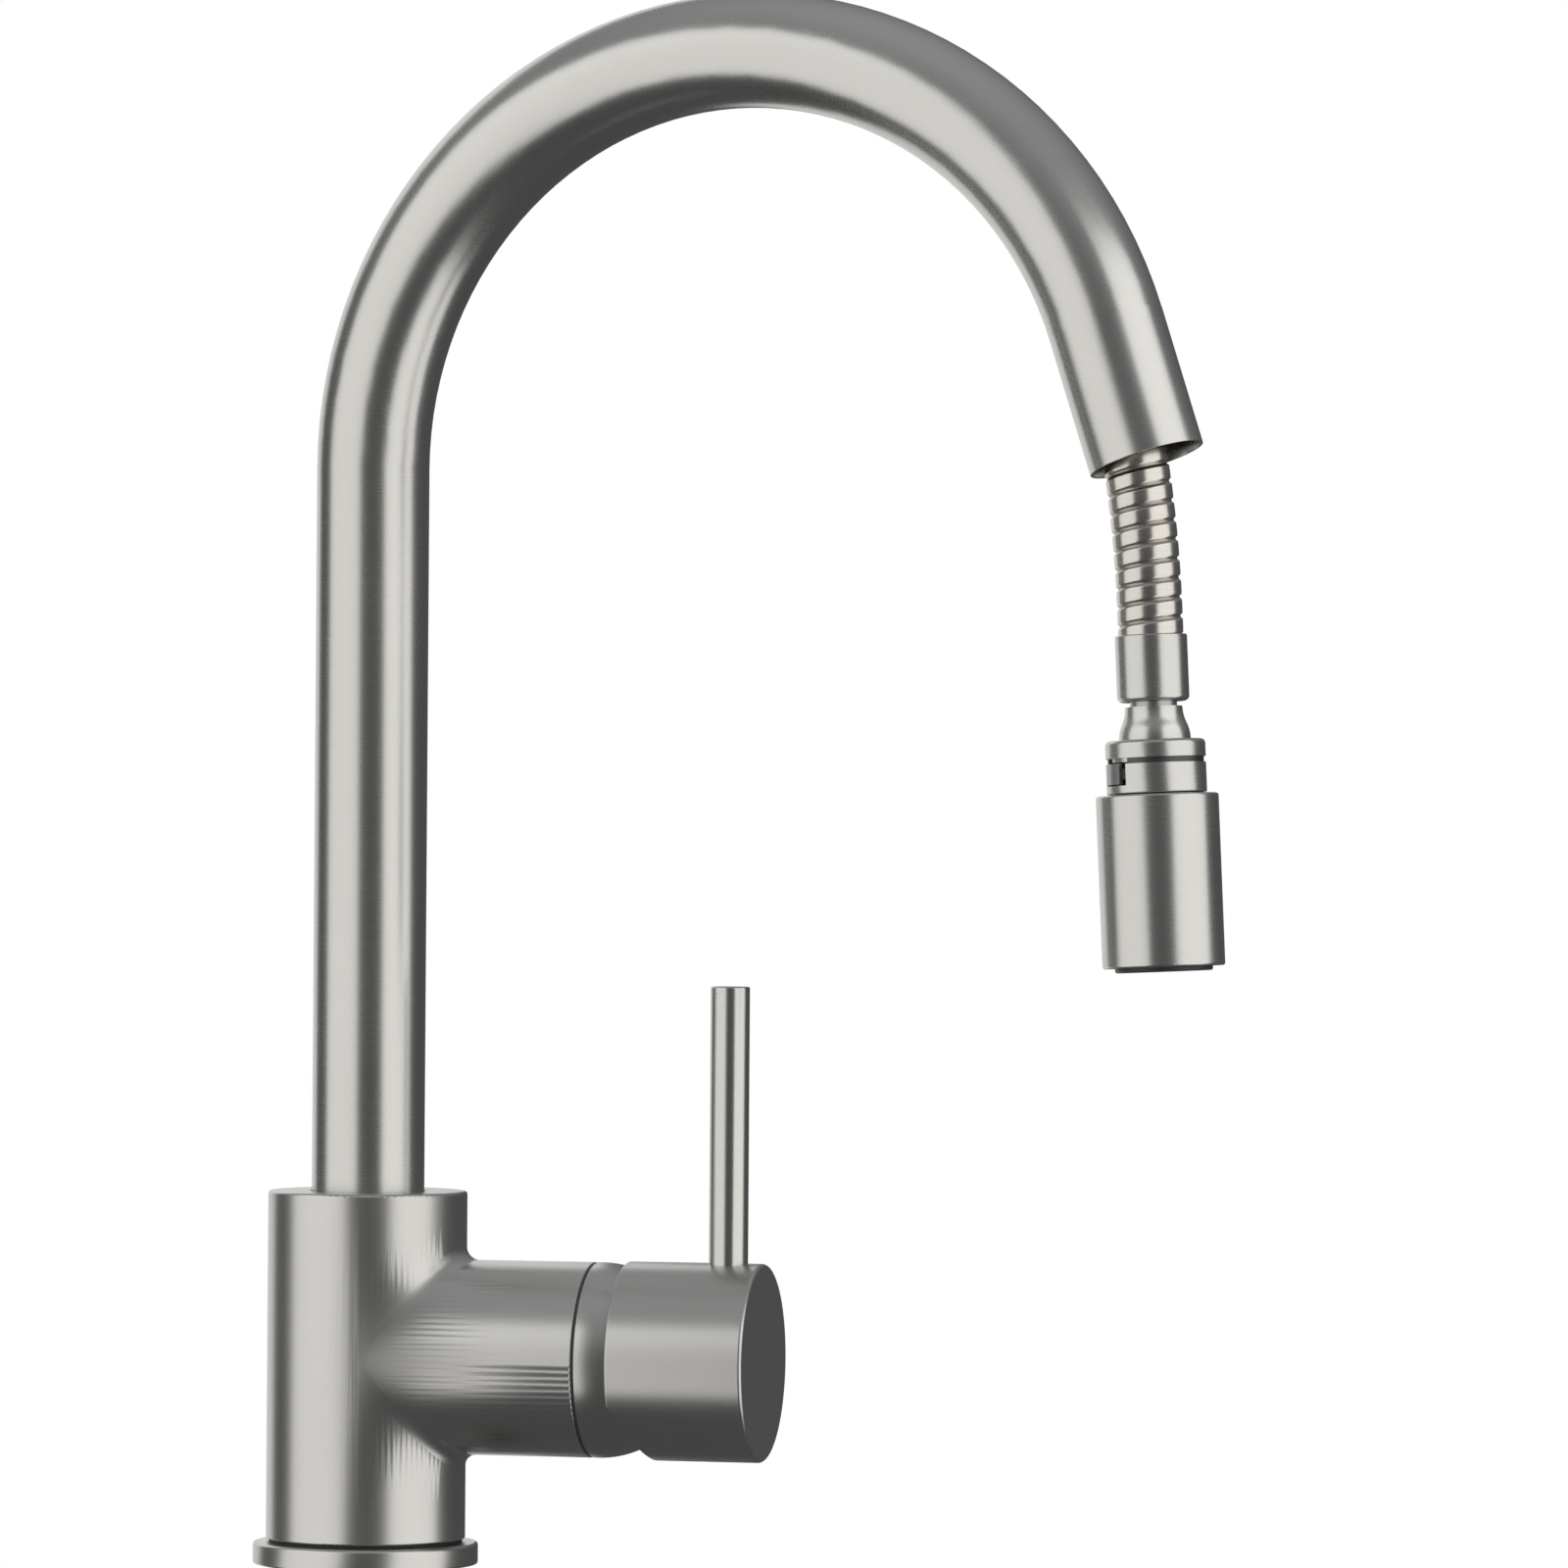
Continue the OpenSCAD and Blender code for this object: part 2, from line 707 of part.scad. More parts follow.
// a snap ring that sits low in the collar's groove, open at the latch slot
module collar_ring() {
    height = groove_high - groove_low;
    color(steel) head_frame() difference() {
        translate([0, 0, groove_low + seat_gap])
            ring(collar_r - 0.45, collar_r - groove_depth + seat_gap, height - 2 * seat_gap);
        translate([0, 0, groove_high - tab_high]) latch_slot(collar_r - core_r + eps);
    }
}

// the tab slides in its slot, flush with the collar at rest
module latch_tab() {
    color(dark_steel) head_frame() rotate([0, 0, tab_turn]) intersection() {
        translate([-collar_r - eps, -tab_w / 2, tab_low])
            cube([tab_t + eps, tab_w, tab_high - tab_low]);
        ring(collar_r, collar_r - tab_t - 0.3, tab_high + eps);
    }
}

// a bowed leaf between the core and the tab
module latch_spring() {
    spring_z = (tab_low + tab_high) / 2;
    out = collar_r - tab_t - 0.08;
    in = core_r + 0.15;
    half = 2;
    bow = (half * half + (out - in) * (out - in)) / (2 * (out - in));
    color(dark_steel) head_frame() rotate([0, 0, tab_turn]) intersection() {
        translate([-out + bow, 0, spring_z - 1.2]) ring(bow, bow - spring_t, 2.4);
        translate([-out, -half, spring_z - 2]) cube([out - in, 2 * half, 4]);
    }
}

module spray_sleeve() {
    color(steel) head_frame() translate([0, 0, -sleeve_l]) difference() {
        turned(sleeve_r, sleeve_l, 0.6, 0.6);
        translate([0, 0, -eps])
            cylinder(h = sleeve_l - sleeve_top + eps, r = sleeve_bore_r);
        translate([0, 0, -eps]) cylinder(h = sleeve_l + 2 * eps, r = core_r + run_fit);
    }
}

module diverter_ring() {
    color(white) head_frame() translate([0, 0, -22]) difference() {
        ring(sleeve_bore_r - seat_gap, core_r + run_fit, 6);
        for (a = [0 : 90 : 270]) rotate([0, 0, a]) translate([0, 0, 3]) rotate([0, 90, 0])
            cylinder(h = sleeve_r, r = 1.2);
    }
}

module flow_regulator() {
    color(white) head_frame() translate([0, 0, core_low]) difference() {
        cylinder(h = 3, r = core_bore_r - seat_gap);
        for (a = [0 : 60 : 300]) rotate([0, 0, a]) translate([3.6, 0, -eps])
            cylinder(h = 3 + 2 * eps, r = 1);
        translate([0, 0, -eps]) cylinder(h = 3 + 2 * eps, r = 1);
    }
}

module aerator_housing() {
    housing_l = aerator_top - aerator_low;
    color(black) head_frame() translate([0, 0, aerator_low]) difference() {
        turned(aerator_r, housing_l, 0.3, 0.5);
        translate([0, 0, -eps]) cylinder(h = 1.4 + eps, r = aerator_r - 2.4);
        translate([0, 0, 1.4]) cylinder(h = core_low - aerator_low - 1.4, r = aerator_r - 1.6);
        cylinder(h = housing_l + eps, r = core_r + seat_gap);
    }
}

// the perforated face that the water leaves through
module aerator_insert() {
    plate_t = 3;
    color(dark_steel) head_frame() translate([0, 0, aerator_low + 1.4]) difference() {
        cylinder(h = plate_t, r = aerator_r - 1.6 - seat_gap);
        for (row = [1 : 4])
            for (k = [0 : 6 * row - 1]) rotate([0, 0, k * 60 / row])
                translate([row * 1.7, 0, -eps]) cylinder(h = plate_t + 2 * eps, r = 0.55);
        translate([0, 0, -eps]) cylinder(h = plate_t + 2 * eps, r = 0.55);
    }
}

module port_seals() {
    color(black) along_arm(seat_x) for (p = face_at) at_face(p) ring(4.2, 2.7, seal_t + 0.8);
}

module cartridge_base() {
    color(white) along_arm(base_x) difference() {
        cylinder(h = base_t, r = cartridge_r);
        for (p = face_at) at_face(p) {
            translate([0, 0, -eps]) cylinder(h = base_t + 2 * eps, r = 2.6);
            translate([0, 0, -eps]) cylinder(h = 0.8 + eps, r = 4.2);
        }
    }
}

module fixed_disc() {
    color(ceramic) along_arm(fixed_x) difference() {
        cylinder(h = fixed_t, r = housing_bore_r - seat_gap);
        for (p = face_at) at_face(p)
            translate([0, 0, -eps]) cylinder(h = fixed_t + 2 * eps, r = 2.4);
    }
}

// slides up over the fixed disc; its pocket then joins the inlets to the outlet
module moving_disc() {
    color(ceramic) along_arm(moving_x) difference() {
        cylinder(h = moving_t, r = disc_r);
        at_face([0, -3.5]) translate([0, 0, -eps]) cylinder(h = 2 + eps, r = 6.6);
    }
}

module disc_carrier() {
    color(white) along_arm(carrier_x) difference() {
        cylinder(h = carrier_end_x - carrier_x, r = disc_r);
        translate([0, 0, 0.6]) cylinder(h = carrier_end_x - carrier_x, r = ball_r + 0.35);
    }
}

module cartridge_housing() {
    color(white) difference() {
        along_arm(fixed_x) cylinder(h = housing_end_x - fixed_x, r = cartridge_r);
        along_arm(fixed_x - eps) cylinder(h = shoulder_x - fixed_x + eps, r = housing_bore_r);
        along_arm(fixed_x) cylinder(h = housing_end_x - fixed_x + eps, r = guide_r + face_gap);
    }
}

// turns with the lever, and holds the pin that the stem tilts on
module stem_guide() {
    slot_w = stem_w + 0.6;
    slot_h = 15;
    color(black) difference() {
        union() {
            along_arm(guide_x) cylinder(h = guide_flange_t, r = guide_flange_r);
            along_arm(guide_x) cylinder(h = guide_end_x - guide_x, r = guide_r);
        }
        arm_frame() translate([guide_x - eps, -slot_w / 2, -slot_h / 2])
            cube([guide_end_x - guide_x + 2 * eps, slot_w, slot_h]);
        arm_frame() translate([pivot_x, 0, 0]) rotate([90, 0, 0])
            cylinder(h = 2 * guide_r, r = stem_pin_r, center = true);
    }
}

module stem_pin() {
    pin_l = 2 * guide_r - 3;
    color(steel) arm_frame() translate([pivot_x, 0, 0]) rotate([90, 0, 0])
        cylinder(h = pin_l, r = stem_pin_r, center = true);
}

module lever_stem() {
    color(brass) difference() {
        union() {
            arm_frame() translate([pivot_x, 0, 0]) rotate([90, 0, 0])
                cylinder(h = stem_w, r = hub_r, center = true);
            arm_frame() translate([pivot_x, -stem_w / 2, -stem_w / 2])
                cube([stem_end_x - pivot_x, stem_w, stem_w]);
            along_arm(ball_x) cylinder(h = finger_l, r = finger_r);
            arm_frame() translate([ball_x, 0, 0]) sphere(r = ball_r);
        }
        arm_frame() translate([pivot_x, 0, 0]) rotate([90, 0, 0])
            cylinder(h = 2 * guide_r, r = stem_pin_r + run_fit, center = true);
    }
}

module cartridge_nut() {
    color(brass) difference() {
        along_arm(housing_end_x) cylinder(h = nut_end_x - housing_end_x, r = seat_r - seat_gap);
        along_arm(housing_end_x - eps)
            cylinder(h = nut_end_x - housing_end_x + 2 * eps, r = nut_in_r);
        along_arm(nut_end_x - 2) for (a = [0 : 60 : 300]) rotate([0, 0, a])
            translate([0, -1.5, 0]) cube([seat_r + eps, 3, 2 + eps]);
    }
}

module hot_limit_ring() {
    color("crimson") along_arm(nut_end_x - 2) difference() {
        ring(nut_in_r - seat_gap, guide_r + face_gap, limit_t);
        translate([0, -4, -eps]) cube([guide_r + 4, 8, limit_t + 2 * eps]);
    }
}

module cover_seal() {
    color(black) along_arm(arm_l) ring(arm_r - 0.2, seat_r + 0.3, cover_seal_t);
}

// a slice of a hollow ball about the lever's pivot, with a foot that seats on the arm
module cartridge_cover() {
    foot = 3;
    color(steel) along_arm(0) rotate_extrude() {
        intersection() {
            translate([0, pivot_x]) difference() {
                circle(r = dome_r);
                circle(r = dome_r - dome_wall);
            }
            translate([0, cover_x]) square([dome_r, dome_end_x - cover_x]);
        }
        difference() {
            translate([seat_r + 0.3, cover_x]) square([dome_r - seat_r - 1, foot]);
            translate([dome_r - 0.7, cover_x - eps]) square([dome_r, foot + 2 * eps]);
        }
    }
}

module lever_cap() {
    color(steel) difference() {
        along_arm(cap_x) turned(cap_r, cap_l, 0.9, 0.3);
        arm_frame() translate([pivot_x, 0, 0]) sphere(r = dome_r + cap_clear);
        arm_frame() translate([cap_x, 0, -bevel_z]) rotate([0, -bevel_a, 0])
            translate([-20, -cap_r - eps, -40]) cube([20, cap_d + 2 * eps, 40]);
        arm_frame() translate([pivot_x, -stem_w / 2 - seat_gap, -stem_w / 2 - seat_gap])
            cube([stem_end_x - pivot_x + 0.2, stem_w + 2 * seat_gap, stem_w + 2 * seat_gap]);
        arm_frame() translate([rod_x, 0, rod_seat]) cylinder(h = cap_r, r = rod_r + seat_gap);
        arm_frame() translate([cap_screw_x, 0, -cap_r - eps])
            cylinder(h = cap_r + eps, r = cap_screw_r + seat_gap);
    }
}

module lever_rod() {
    color(steel) arm_frame() translate([rod_x, 0, rod_seat])
        turned(rod_r, rod_top - rod_seat, 0.4);
}

module cap_screw() {
    color(dark_steel) arm_frame()
        translate([cap_screw_x, 0, -stem_w / 2 - cap_screw_l]) difference() {
            cylinder(h = cap_screw_l, r = cap_screw_r);
            translate([0, 0, -eps]) cylinder(h = 2.5 + eps, r = 1.3, $fn = 6);
        }
}

base_flange();
deck_gasket();
body_seal();
faucet_body();
shank();
rubber_washer();
steel_washer();
lock_nut();
lock_nut_screws();
spout_tube();
spout_tail();
slip_rings();
spout_o_rings();
thrust_washer();
spout_screw();
hose_guide_bush();
spray_hose();
hose_lower();
hose_connector();
hose_ferrule();
swivel_stem();
swivel_neck();
swivel_o_ring();
check_valve();
head_core();
head_collar();
collar_ring();
latch_tab();
latch_spring();
spray_sleeve();
diverter_ring();
flow_regulator();
aerator_housing();
aerator_insert();
port_seals();
cartridge_base();
fixed_disc();
moving_disc();
disc_carrier();
cartridge_housing();
stem_guide();
stem_pin();
lever_stem();
cartridge_nut();
hot_limit_ring();
cover_seal();
cartridge_cover();
lever_cap();
lever_rod();
cap_screw();
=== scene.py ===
"""Looks of the pull down kitchen faucet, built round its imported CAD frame.

Lengths are in millimetres and are multiplied by MM, unless a comment says metres.
"""

import json
import math

import bmesh
import bpy
from mathutils import Matrix, Vector


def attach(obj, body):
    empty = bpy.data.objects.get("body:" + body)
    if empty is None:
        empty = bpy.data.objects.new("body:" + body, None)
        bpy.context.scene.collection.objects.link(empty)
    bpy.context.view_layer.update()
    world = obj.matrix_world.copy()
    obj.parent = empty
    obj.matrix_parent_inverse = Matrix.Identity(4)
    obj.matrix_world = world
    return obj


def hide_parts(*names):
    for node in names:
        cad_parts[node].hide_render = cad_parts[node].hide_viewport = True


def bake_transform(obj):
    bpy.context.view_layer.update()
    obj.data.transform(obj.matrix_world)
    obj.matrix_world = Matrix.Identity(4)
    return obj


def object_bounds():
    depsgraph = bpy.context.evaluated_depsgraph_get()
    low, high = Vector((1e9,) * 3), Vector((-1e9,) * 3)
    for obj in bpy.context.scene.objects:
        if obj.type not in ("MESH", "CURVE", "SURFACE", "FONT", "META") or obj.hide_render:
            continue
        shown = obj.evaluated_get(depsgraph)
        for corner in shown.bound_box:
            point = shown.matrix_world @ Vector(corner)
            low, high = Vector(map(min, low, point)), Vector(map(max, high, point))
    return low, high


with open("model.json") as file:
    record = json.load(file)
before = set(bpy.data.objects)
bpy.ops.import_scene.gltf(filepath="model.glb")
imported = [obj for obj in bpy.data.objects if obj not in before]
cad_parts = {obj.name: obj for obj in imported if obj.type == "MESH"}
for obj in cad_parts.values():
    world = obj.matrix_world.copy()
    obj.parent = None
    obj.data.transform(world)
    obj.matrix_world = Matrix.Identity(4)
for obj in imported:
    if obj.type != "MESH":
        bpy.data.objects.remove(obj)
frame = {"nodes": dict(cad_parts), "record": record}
cad_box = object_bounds()
MM = 0.001

# the body, and the side arm that carries the cartridge
BODY_R = 23.0
ARM_R = 22.4
ARM_Z = 48.0
ARM_YAW = math.radians(11)

# the spout: where its column ends, its bend, and the straight tail down to the outlet
BEND_R = 93.5
BEND_Z = 253.0
BEND_ANGLE = math.radians(161.7)
TAIL_L = 31.5

# the hose: the head docks just off the outlet; from the foot above the head up to the bend the hose
# follows a gentle arc about a far centre, and past the held point it no longer moves with the head
HOSE_R = 7.25
DOCK_GAP = 0.4
PULL_R = 272.1
PULL_FOOT = 41.4
PULL_REST = math.radians(15.47)
HOSE_IN = 24.0

# the hose's lower end: cut at the swivel plane, it steps aside past the inlets and leaves by the shank
SWIVEL_Z = 56.0
SWIVEL_GAP = 0.3
HOSE_SHIFT = 7.0
SIDE_STEP = 32.0
LOWER_END_Z = -54.0

arm_dir = Vector((math.cos(ARM_YAW), math.sin(ARM_YAW), 0))
arm_side = Vector((-math.sin(ARM_YAW), math.cos(ARM_YAW), 0))


# ---------------------------------------------------------------- scene, camera and light

scene = bpy.context.scene
scene.view_settings.view_transform = "Standard"
scene.view_settings.look = "None"

VIEW_TURN = math.radians(27.1)
CAMERA_PLACE = (-0.467, -1850.0, 165.1)
CAMERA_AIM = (0.0519, 0.0084, 0.0070)
LENS = 183.4
SENSOR = 36.0
# in metres
NEAR_CLIP = 0.05
FAR_CLIP = 50.0

LIGHT_TARGET = (60, 0, 170)

ROOM_TINT = (0.93, 0.97, 1.0, 1)
ROOM_DIM = 0.095
ROOM_OVERHEAD = 0.42
ROOM_FADE_FROM = 0.15


def add_camera():
    """The camera looks along Y at the faucet's front, and then the whole view is turned by VIEW_TURN."""
    yaw, pitch, roll = CAMERA_AIM
    fwd = Vector((math.sin(yaw) * math.cos(pitch), math.cos(yaw) * math.cos(pitch), math.sin(pitch)))
    right = Vector((math.cos(yaw), -math.sin(yaw), 0))
    up = right.cross(fwd)
    x = right * math.cos(roll) + up * math.sin(roll)
    y = up * math.cos(roll) - right * math.sin(roll)
    turn = Matrix.Rotation(VIEW_TURN, 4, "Z")
    place = Matrix.Translation(Vector(CAMERA_PLACE) * MM)
    axes = Matrix((x, y, -fwd)).transposed().to_4x4()
    data = bpy.data.cameras.new("camera")
    data.lens = LENS
    data.sensor_width = SENSOR
    data.clip_start = NEAR_CLIP
    data.clip_end = FAR_CLIP
    camera = bpy.data.objects.new("camera", data)
    camera.matrix_world = turn @ place @ axes
    scene.collection.objects.link(camera)
    scene.camera = camera


def add_softbox(name, azimuth, distance, height, size, watts):
    """A rectangular light that faces the faucet.

    Azimuth is in degrees from the camera, to the right. Distance, height and size are in metres.
    """
    data = bpy.data.lights.new(name, "AREA")
    data.shape = "RECTANGLE"
    data.size, data.size_y = size
    data.energy = watts
    light = bpy.data.objects.new(name, data)
    a = VIEW_TURN + math.radians(azimuth)
    target = Vector(LIGHT_TARGET) * MM
    light.location = target + Vector((math.sin(a) * distance, -math.cos(a) * distance, height))
    light.rotation_mode = "QUATERNION"
    light.rotation_quaternion = (target - light.location).to_track_quat("-Z", "Y")
    scene.collection.objects.link(light)
    return light


def add_world():
    """A white surround for the eye, and for the reflections a dim grey one that is lighter overhead."""
    world = bpy.data.worlds.new("studio")
    scene.world = world
    world.use_nodes = True
    nodes, links = world.node_tree.nodes, world.node_tree.links
    nodes.clear()
    seen = nodes.new("ShaderNodeBackground")
    seen.inputs["Color"].default_value = (1, 1, 1, 1)
    room = nodes.new("ShaderNodeBackground")
    room.inputs["Color"].default_value = ROOM_TINT
    way = nodes.new("ShaderNodeTexCoord")
    height = nodes.new("ShaderNodeSeparateXYZ")
    fade = nodes.new("ShaderNodeMapRange")
    fade.inputs["From Min"].default_value = ROOM_FADE_FROM
    fade.inputs["To Min"].default_value = ROOM_DIM
    fade.inputs["To Max"].default_value = ROOM_OVERHEAD
    links.new(way.outputs["Generated"], height.inputs[0])
    links.new(height.outputs["Z"], fade.inputs["Value"])
    links.new(fade.outputs["Result"], room.inputs["Strength"])
    path = nodes.new("ShaderNodeLightPath")
    mix = nodes.new("ShaderNodeMixShader")
    out = nodes.new("ShaderNodeOutputWorld")
    links.new(path.outputs["Is Camera Ray"], mix.inputs[0])
    links.new(room.outputs[0], mix.inputs[1])
    links.new(seen.outputs[0], mix.inputs[2])
    links.new(mix.outputs[0], out.inputs[0])


# ---------------------------------------------------------------- materials

# the grain's scale for each metre, across the brushing and along it, and that of the cloudy patches
FINE_GRAIN = 5200.0
TURNED_GRAIN = 2600
GRAIN_DRIFT = 30.0
CLOUD = 38

# the grain's part in the tone, and its depth
GRAIN_SHARE = 0.45
GRAIN_DEPTH = 0.06 * MM

HEAD_TILT = math.radians(2.83)
STEEL = {"light": (0.64, 0.625, 0.595), "dark": (0.55, 0.54, 0.51)}

# every finish by the name it was made under; the CAD frame's own materials may hold that name already
materials = {}


class Value:
    """One output of a node; arithmetic on it adds Math nodes."""

    def __init__(self, finish, socket):
        self.finish, self.socket = finish, socket

    def _math(self, operation, a, b):
        return self.finish.node("ShaderNodeMath", {"operation": operation}, {0: a, 1: b})

    def __add__(self, other):
        return self._math("ADD", self, other)

    __radd__ = __add__

    def __sub__(self, other):
        return self._math("SUBTRACT", self, other)

    def __rsub__(self, other):
        return self._math("SUBTRACT", other, self)

    def __mul__(self, other):
        return self._math("MULTIPLY", self, other)

    __rmul__ = __mul__

    def __gt__(self, other):
        return self._math("GREATER_THAN", self, other)

    def __lt__(self, other):
        return self._math("LESS_THAN", self, other)


class Finish:
    """A material under construction; node() adds any node and gives back one of its outputs."""

    def __init__(self, name):
        material = bpy.data.materials.new(name)
        material.use_nodes = True
        materials[name] = material
        self.tree = material.node_tree
        self.tree.nodes.clear()
        self.shader = self.tree.nodes.new("ShaderNodeBsdfPrincipled")
        out = self.tree.nodes.new("ShaderNodeOutputMaterial")
        self.tree.links.new(self.shader.outputs[0], out.inputs[0])

    def put(self, socket, value):
        if isinstance(value, Value):
            self.tree.links.new(value.socket, socket)
        else:
            socket.default_value = value

    def node(self, kind, settings=None, inputs=None, output=0):
        made = self.tree.nodes.new(kind)
        for key, value in (settings or {}).items():
            setattr(made, key, value)
        for key, value in (inputs or {}).items():
            self.put(made.inputs[key], value)
        return Value(self, made.outputs[output])

    def set(self, **values):
        for key, value in values.items():
            self.put(self.shader.inputs[key.replace("_", " ")], value)

    def coordinates(self, scale, turn=(0, 0, 0)):
        place = self.node("ShaderNodeTexCoord", output="Object")
        place = self.node("ShaderNodeMapping", {"vector_type": "POINT"},
                          {"Vector": place, "Rotation": turn})
        return self.node("ShaderNodeVectorMath", {"operation": "MULTIPLY"}, {0: place, 1: scale})

    def noise(self, vector, detail, roughness=0.5):
        return self.node("ShaderNodeTexNoise", None,
                         {"Vector": vector, "Scale": 1.0, "Detail": detail, "Roughness": roughness})

    def mix(self, factor, low, high):
        return self.node("ShaderNodeMix", {"data_type": "RGBA"},
                         {"Factor": factor, 6: low, 7: high}, output=2)

    def bump(self, height, strength, distance):
        return self.node("ShaderNodeBump", None,
                         {"Height": height, "Strength": strength, "Distance": distance})


def colour(r, g, b):
    return (r, g, b, 1)


def brushed_metal(name, light, dark, rough, grain, coordinates, spread=0.06):
    """Satin metal: fine grain along the brushing, faint cloudy patches in tone and gloss."""
    finish = Finish(name)
    lines = finish.noise(coordinates(finish), 2.0, 0.6)
    cloud = finish.noise(finish.coordinates((CLOUD, CLOUD, CLOUD)), 3.0)
    tone = lines * GRAIN_SHARE + cloud * (1 - GRAIN_SHARE)
    finish.set(
        Metallic=1.0,
        Base_Color=finish.mix(tone, colour(*dark), colour(*light)),
        Roughness=rough + (tone - 0.5) * spread,
        Normal=finish.bump(lines, grain, GRAIN_DEPTH),
    )


def round_grain(axis_turn=(0, 0, 0), rings=FINE_GRAIN):
    """Grain that runs round the Z axis, or round an axis that the turn brings onto Z."""
    return lambda finish: finish.coordinates((GRAIN_DRIFT, GRAIN_DRIFT, rings), axis_turn)


def spout_grain(finish):
    """Grain that runs round the spout tube: one coordinate follows the column and the bend."""
    place = finish.node("ShaderNodeTexCoord", output="Object")
    x, y, z = (finish.node("ShaderNodeSeparateXYZ", None, {0: place}, output=i) for i in range(3))
    over = z > BEND_Z * MM
    turned = finish.node("ShaderNodeMath", {"operation": "ARCTAN2"},
                         {0: z - BEND_Z * MM, 1: BEND_R * MM - x})
    along = z * (1 - over) + turned * (BEND_R * MM) * over
    return finish.node("ShaderNodeCombineXYZ", None, {0: y * GRAIN_DRIFT, 1: x * 8, 2: along * FINE_GRAIN})


def plain_finish(name, base, second, rough, scale=300.0, bump=0.15, coat=0.0):
    """Moulded plastic, rubber or ceramic with a fine even surface."""
    finish = Finish(name)
    grain = finish.noise(finish.coordinates((scale, scale, scale)), 4.0, 0.6)
    cloud = finish.noise(finish.coordinates((60, 60, 60)), 2.0)
    finish.set(
        Coat_Weight=coat,
        Base_Color=finish.mix(cloud, colour(*base), colour(*second)),
        Roughness=rough + (cloud - 0.5) * 0.12,
        Normal=finish.bump(grain, bump, 0.04 * MM),
    )


def hose_finish():
    """Strip wound steel: the raised bands are brushed bright, and the grooves get a darker tone that is
    painted shade.
    """
    finish = Finish("hose_steel")
    groove = finish.node("ShaderNodeAttribute", {"attribute_name": "groove"}, output="Fac")
    lines = finish.noise(finish.coordinates((120, 120, 4200)), 2.0)
    bright = finish.mix(lines, colour(0.58, 0.55, 0.50), colour(0.70, 0.67, 0.62))
    finish.set(
        Metallic=1.0,
        # painted shade: the groove mask colours the grooves a darker brown-grey, standing in for the shade
        # that falls in them
        Base_Color=finish.mix(groove, bright, colour(0.40, 0.36, 0.31)),
        Roughness=0.24 + groove * 0.10 + (lines - 0.5) * 0.05,
        Normal=finish.bump(lines, 0.12, 0.05 * MM),
    )


def make_materials():
    turned = round_grain(rings=TURNED_GRAIN)
    along_arm = round_grain((0, -math.pi / 2, -ARM_YAW))
    along_head = round_grain((0, HEAD_TILT, 0))
    brushed_metal("brushed_steel", rough=0.30, grain=0.045, coordinates=round_grain(), **STEEL)
    brushed_metal("spout_steel", rough=0.27, grain=0.045, coordinates=spout_grain, **STEEL)
    brushed_metal("arm_steel", rough=0.30, grain=0.045, coordinates=along_arm, **STEEL)
    brushed_metal("head_steel", rough=0.27, grain=0.03, coordinates=along_head, **STEEL)
    brushed_metal("rod_steel", (0.62, 0.605, 0.58), (0.55, 0.535, 0.51), 0.24, 0.04, round_grain())
    hose_finish()
    brushed_metal("fastener_steel", (0.50, 0.50, 0.50), (0.40, 0.40, 0.40), 0.32, 0.15, turned)
    brushed_metal("blackened_steel", (0.13, 0.13, 0.13), (0.08, 0.08, 0.08), 0.42, 0.08, turned)
    brushed_metal("brass", (0.80, 0.62, 0.31), (0.68, 0.50, 0.23), 0.26, 0.18, turned, spread=0.12)
    plain_finish("black_rubber", (0.014, 0.014, 0.015), (0.022, 0.022, 0.022), 0.62)
    plain_finish("black_plastic", (0.022, 0.022, 0.023), (0.034, 0.034, 0.034), 0.42)
    plain_finish("white_plastic", (0.80, 0.80, 0.77), (0.85, 0.85, 0.83), 0.38)
    plain_finish("ceramic", (0.88, 0.86, 0.81), (0.92, 0.91, 0.87), 0.16, 500, 0.03, coat=0.3)
    plain_finish("red_plastic", (0.60, 0.03, 0.03), (0.68, 0.05, 0.05), 0.36)


# ---------------------------------------------------------------- node trees that make geometry


class Builder:
    """A geometry node tree under construction, with named inputs."""

    def __init__(self, name, sizes):
        self.tree = bpy.data.node_groups.new(name, "GeometryNodeTree")
        face = self.tree.interface
        kinds = {bpy.types.Material: "NodeSocketMaterial", int: "NodeSocketInt", float: "NodeSocketFloat"}
        face.new_socket("Geometry", in_out="INPUT", socket_type="NodeSocketGeometry")
        for key, value in sizes.items():
            face.new_socket(key, in_out="INPUT", socket_type=kinds[type(value)]).default_value = value
        face.new_socket("Geometry", in_out="OUTPUT", socket_type="NodeSocketGeometry")
        self.given = self.tree.nodes.new("NodeGroupInput").outputs

    def node(self, kind, settings=None, inputs=None, output=0):
        made = self.tree.nodes.new(kind)
        for key, value in (settings or {}).items():
            setattr(made, key, value)
        for key, value in (inputs or {}).items():
            if isinstance(value, bpy.types.NodeSocket):
                self.tree.links.new(value, made.inputs[key])
            else:
                made.inputs[key].default_value = value
        return made.outputs[output]

    def math(self, operation, a, b):
        return self.node("ShaderNodeMath", {"operation": operation}, {0: a, 1: b})

    def vector(self, operation, a, b, output=0):
        return self.node("ShaderNodeVectorMath", {"operation": operation}, {0: a, 1: b}, output)

    def finish(self, geometry):
        out = self.tree.nodes.new("NodeGroupOutput")
        self.tree.links.new(geometry, out.inputs[0])
        return self.tree


